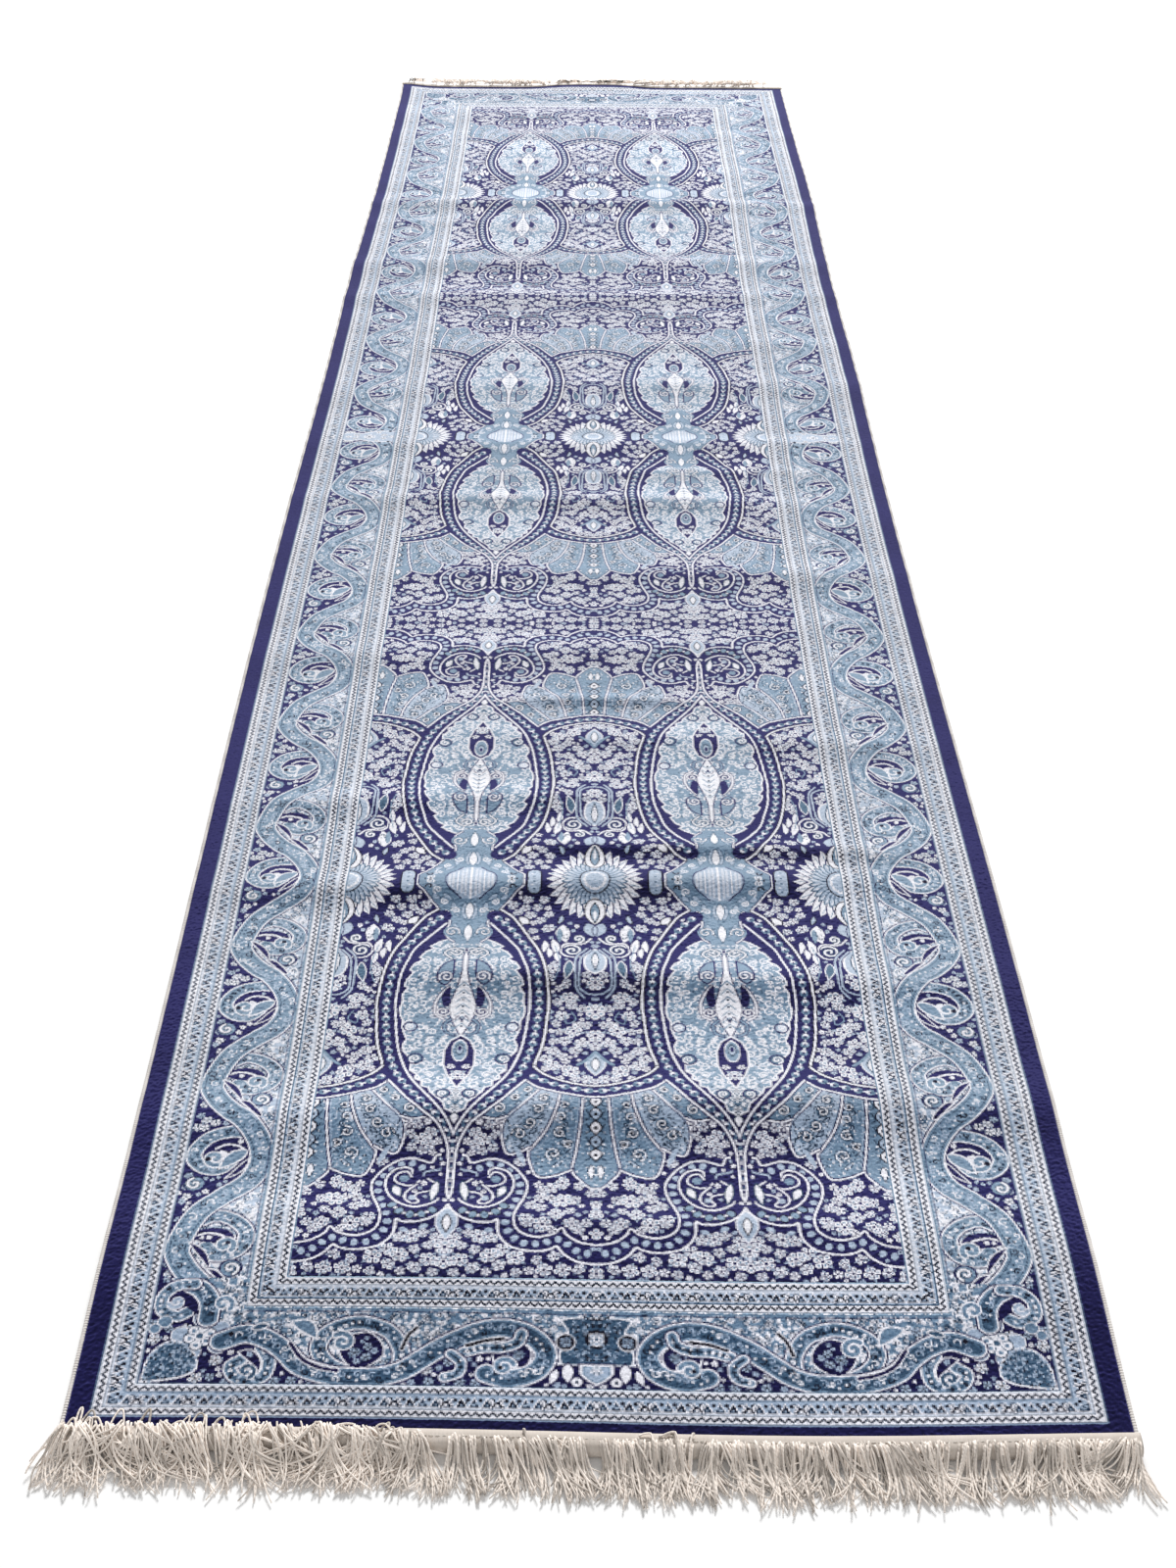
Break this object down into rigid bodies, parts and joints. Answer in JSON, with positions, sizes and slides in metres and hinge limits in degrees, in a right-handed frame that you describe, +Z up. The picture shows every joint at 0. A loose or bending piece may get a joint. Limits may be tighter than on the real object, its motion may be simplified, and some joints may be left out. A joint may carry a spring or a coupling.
{
  "type": "runner rug",
  "caption": "Long narrow floor rug with a cut pile in a traditional oriental pattern of medallions, scroll border and guard stripes, overlocked sides and a fringe on both ends.",
  "frame": {"origin": "middle of the rug, on the floor under it", "axes": "+Z up out of the pile, +Y along the rug's length towards the far fringe, +X across its width"},
  "size_m": [0.8, 3.64, 0.008],
  "materials": {
    "latex": "matt latex coat, off-white",
    "backing": "plain-woven cotton and jute",
    "pile_navy": "cut pile, navy",
    "pile_guard": "cut pile, blue and ivory zigzag",
    "pile_scroll": "cut pile, blue vines on navy",
    "pile_field": "cut pile, blue medallions on navy",
    "binding": "overlocked yarn, ecru",
    "cord": "twisted cotton cord, ecru",
    "tape": "woven cotton tape, ecru",
    "fringe": "twisted cotton yarn, ecru",
    "thread": "sewing thread, ecru"
  },
  "bodies": {
    "root": {"latex_back_coat": "latex", "woven_backing": "backing", "pile_plain_band": "pile_navy", "pile_outer_guard": "pile_guard", "pile_scroll_border": "pile_scroll", "pile_inner_guard": "pile_guard", "pile_field": "pile_field", "left_edge_binding": "binding", "right_edge_binding": "binding", "left_selvedge_cord": "cord", "right_selvedge_cord": "cord", "near_fringe_tape": "tape", "far_fringe_tape": "tape", "near_fringe_strands": "fringe", "far_fringe_strands": "fringe", "near_tape_stitches": "thread", "far_tape_stitches": "thread"}
  },
  "joints": []
}
